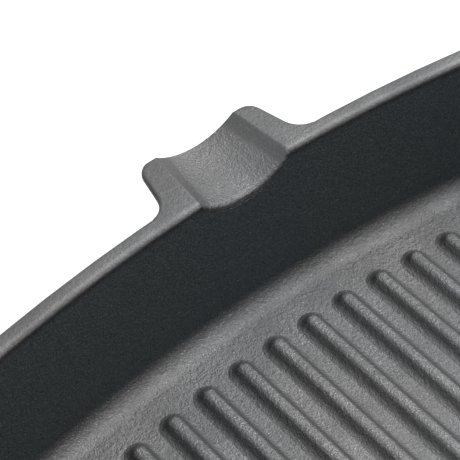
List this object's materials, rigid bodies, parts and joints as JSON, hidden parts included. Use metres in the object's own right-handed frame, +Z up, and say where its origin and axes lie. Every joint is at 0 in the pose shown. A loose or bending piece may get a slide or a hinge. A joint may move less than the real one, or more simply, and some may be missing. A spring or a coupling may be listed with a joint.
{
  "type": "grill pan",
  "caption": "Square cast-iron grill pan with bowed sides, ribbed floor, scooped pouring lips, wooden handle and a swinging hanging ring.",
  "frame": {"origin": "centre of the pan on the plane it stands on", "axes": "+Z up, ribs and pouring lips along X, handle leaving along -Y"},
  "size_m": [0.2912, 0.5136, 0.0856],
  "materials": {
    "cast_iron": "raw sand-cast, matte grey",
    "wood": "oiled",
    "steel": "satin",
    "fibre": "matte"
  },
  "bodies": {
    "pan": {"pan_casting": "cast_iron", "heat_washer": "fibre", "ferrule": "steel", "handle_grip": "wood", "tie_rod": "steel", "end_cap": "steel", "spring_washer": "steel", "eye_nut": "steel"},
    "ring": {"hanging_ring": "steel"}
  },
  "joints": [
    {"name": "ring_swing", "type": "hinge", "parent": "pan", "child": "ring", "pos_m": [0, -0.34393, 0.07367], "axis": [-1, 0, 0], "range_deg": [-45, 235]}
  ]
}
